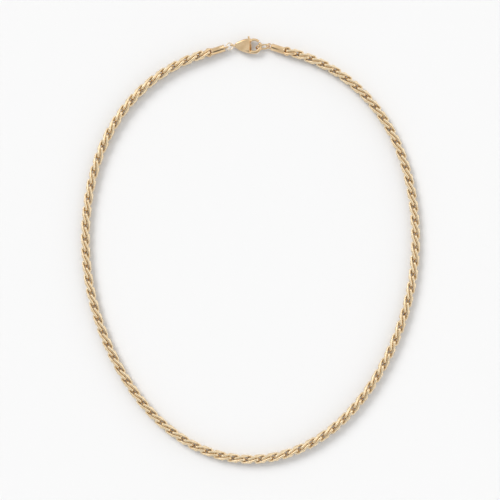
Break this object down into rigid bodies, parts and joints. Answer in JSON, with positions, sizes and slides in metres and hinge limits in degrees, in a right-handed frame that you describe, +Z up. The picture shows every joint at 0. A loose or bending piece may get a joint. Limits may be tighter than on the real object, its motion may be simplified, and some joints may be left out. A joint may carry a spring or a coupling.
{
  "type": "twisted chain necklace",
  "caption": "Gold neck chain of twisted oval links woven through one another, with turned end caps, rings and a lobster clasp, fastened and laid flat as an oval loop.",
  "frame": {"origin": "on the surface that the necklace lies on, below the middle of its outer box", "axes": "+Y across the loop towards the clasp, +X towards the clasp's hook end, +Z up from the surface"},
  "size_m": [0.1324, 0.1669, 0.0036],
  "materials": {
    "gold": "polished"
  },
  "bodies": {
    "necklace": {"left_chain": "gold", "right_chain": "gold", "left_end_cap": "gold", "right_end_cap": "gold", "jump_ring": "gold", "end_ring": "gold", "clasp_body": "gold"},
    "lever": {"clasp_lever": "gold"}
  },
  "joints": [
    {"name": "lever_pivot", "type": "hinge", "parent": "necklace", "child": "lever", "pos_m": [-0.00011, 0.08162, 0.00179], "axis": [0, 0, -1], "range_deg": [0, 24], "stiffness_Nm_per_rad": 0.004}
  ]
}
